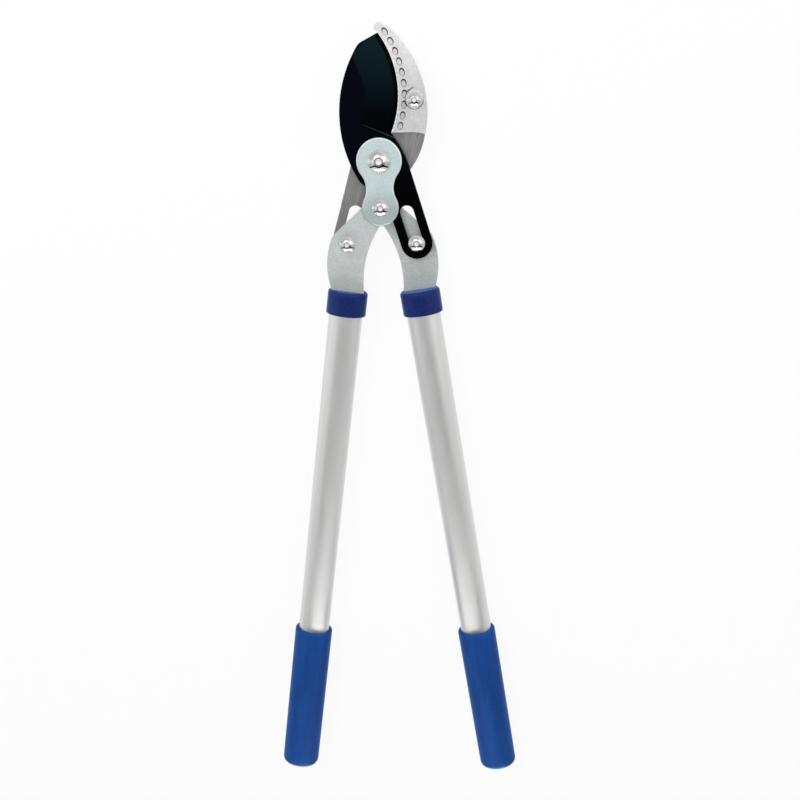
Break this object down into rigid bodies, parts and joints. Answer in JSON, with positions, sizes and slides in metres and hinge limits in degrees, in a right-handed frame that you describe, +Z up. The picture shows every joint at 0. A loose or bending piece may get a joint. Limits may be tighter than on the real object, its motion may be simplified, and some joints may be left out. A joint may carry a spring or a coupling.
{
  "type": "lopper",
  "caption": "Long two-handed lopper with a black cutting blade, a light cast anvil jaw, compound lever linkage, oval aluminium tubes and blue sleeve grips.",
  "frame": {"origin": "on the surface that the tool lies on, under the middle of its bounding box", "axes": "+X across the tool to the right, +Y along it to the tip of the jaws, +Z up, towards the bolt heads"},
  "size_m": [0.2516, 0.7564, 0.03],
  "materials": {
    "coated_steel": "satin black non-stick coating on steel",
    "brushed_steel": "mid grey, brushed along the plate",
    "cast_alloy": "light cast alloy, satin",
    "blasted_steel": "bead blasted, with a faint green-grey tint",
    "chrome": "bright polished",
    "plated_steel": "zinc plated",
    "bronze": "plain bearing bronze",
    "blue_plastic": "gloss dark blue",
    "aluminium": "satin anodised",
    "black_plastic": "moulded, matte",
    "blue_rubber": "satin blue sleeve"
  },
  "bodies": {
    "linkage": {"front_link_plate": "blasted_steel", "rear_link_plate": "blasted_steel", "main_pivot_bolt": "chrome", "main_pivot_bush": "bronze", "main_pivot_washer": "plated_steel", "main_pivot_nut": "plated_steel", "handle_pivot_bolt": "chrome", "handle_pivot_bush": "bronze", "handle_pivot_washer": "plated_steel", "handle_pivot_nut": "plated_steel"},
    "blade": {"cutting_blade": "coated_steel"},
    "anvil": {"anvil_arm": "brushed_steel", "anvil_jaw": "cast_alloy", "anvil_screw": "chrome", "anvil_nut": "plated_steel"},
    "left_handle": {"left_bracket": "blasted_steel", "left_drive_bolt": "chrome", "left_drive_bush": "bronze", "left_drive_washer": "plated_steel", "left_drive_nut": "plated_steel", "left_collar": "blue_plastic", "left_tube": "aluminium", "left_tube_insert": "black_plastic", "left_tang_pin": "plated_steel", "left_grip": "blue_rubber"},
    "right_handle": {"right_bracket": "blasted_steel", "right_drive_bolt": "chrome", "right_drive_bush": "bronze", "right_drive_washer": "plated_steel", "right_drive_nut": "plated_steel", "right_collar": "blue_plastic", "right_tube": "aluminium", "right_tube_insert": "black_plastic", "right_tang_pin": "plated_steel", "right_grip": "blue_rubber"}
  },
  "joints": [
    {"name": "right_handle_swing", "type": "hinge", "parent": "linkage", "child": "right_handle", "pos_m": [0, 0.22545, 0.015], "axis": [0, 0, 1], "range_deg": [0, 60]},
    {"name": "left_handle_swing", "type": "hinge", "parent": "linkage", "child": "left_handle", "pos_m": [0, 0.22545, 0.015], "axis": [0, 0, -1], "range_deg": [0, 60]},
    {"name": "blade_swing", "type": "hinge", "parent": "linkage", "child": "blade", "pos_m": [0, 0.26545, 0.015], "axis": [0, 0, 1], "range_deg": [0, 30]},
    {"name": "anvil_swing", "type": "hinge", "parent": "linkage", "child": "anvil", "pos_m": [0, 0.26545, 0.015], "axis": [0, 0, -1], "range_deg": [0, 30]}
  ],
  "couplings": [
    {"joint": "blade_swing", "follows": "right_handle_swing", "ratio": 0.5},
    {"joint": "anvil_swing", "follows": "left_handle_swing", "ratio": 0.5}
  ]
}
